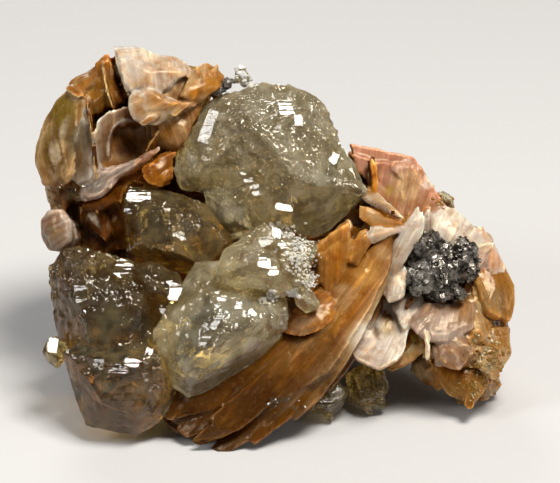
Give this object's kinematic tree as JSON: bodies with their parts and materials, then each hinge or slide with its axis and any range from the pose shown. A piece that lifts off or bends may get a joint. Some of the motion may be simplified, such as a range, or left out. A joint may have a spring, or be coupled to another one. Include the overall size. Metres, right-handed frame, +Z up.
{
  "type": "mineral specimen",
  "caption": "Clear, pale olive cerussite crystals and a knot of dark galena cubes on bladed orange and white barite, standing on a flat base as a display piece.",
  "frame": {"origin": "centre of the bounding box at floor level, on the flat base", "axes": "+Z up; the display face looks towards -Y and leans back 25 degrees; +X to the right of somebody who looks at that face"},
  "size_m": [0.0816, 0.0551, 0.0571],
  "materials": {
    "barite": "waxy, bladed, white edges and iron-orange stains",
    "cerussite": "clear, adamantine, striated",
    "galena": "dark grey, metallic lustre"
  },
  "bodies": {
    "root": {"barite_matrix": "barite", "cerussite_upper": "cerussite", "cerussite_middle": "cerussite", "cerussite_lower": "cerussite", "cerussite_front": "cerussite", "cerussite_centre": "cerussite", "cerussite_stub": "cerussite", "cerussite_crown": "cerussite", "cerussite_foot_left": "cerussite", "cerussite_foot_right": "cerussite", "cerussite_edge": "cerussite", "galena_cluster": "galena", "galena_speck": "galena"}
  },
  "joints": []
}
